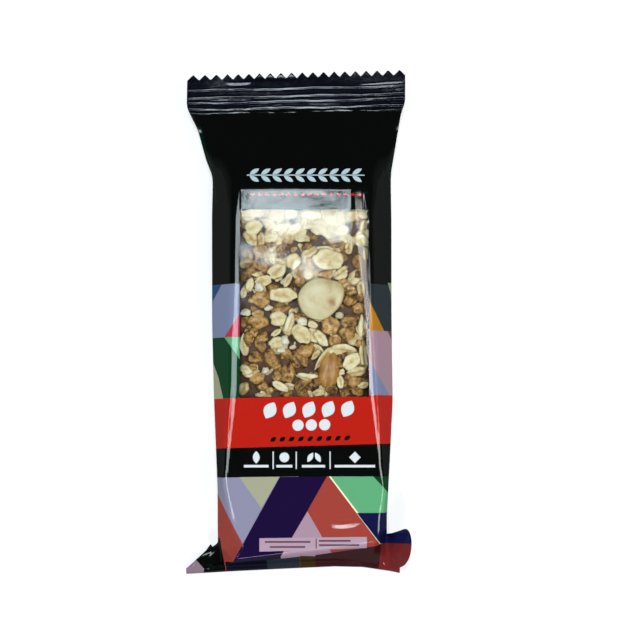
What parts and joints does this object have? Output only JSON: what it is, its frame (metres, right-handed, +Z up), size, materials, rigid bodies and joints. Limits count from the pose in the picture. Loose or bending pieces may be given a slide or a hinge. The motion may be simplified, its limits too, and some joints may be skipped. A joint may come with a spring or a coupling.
{
  "type": "nut bar",
  "caption": "Oat and nut bar shut in a flow-wrap film pack with a clear window, a saw-cut upper seal and a lower seal folded under.",
  "frame": {"origin": "under the middle of the pack's bounding box, on the surface it lies on", "axes": "+Y along the pack towards the upper seal, +Z up out of the window side, +X across to the right of the print"},
  "size_m": [0.0634, 0.1432, 0.015],
  "materials": {
    "printed_film": "glossy printed packing film, black with flat fields of colour",
    "clear_film": "glossy clear packing film",
    "oat_nut_bar": "rough pressed oats, nut nuggets and almond, matt"
  },
  "bodies": {
    "root": {"wrapper": "printed_film", "window": "clear_film", "nut_bar": "oat_nut_bar"}
  },
  "joints": []
}
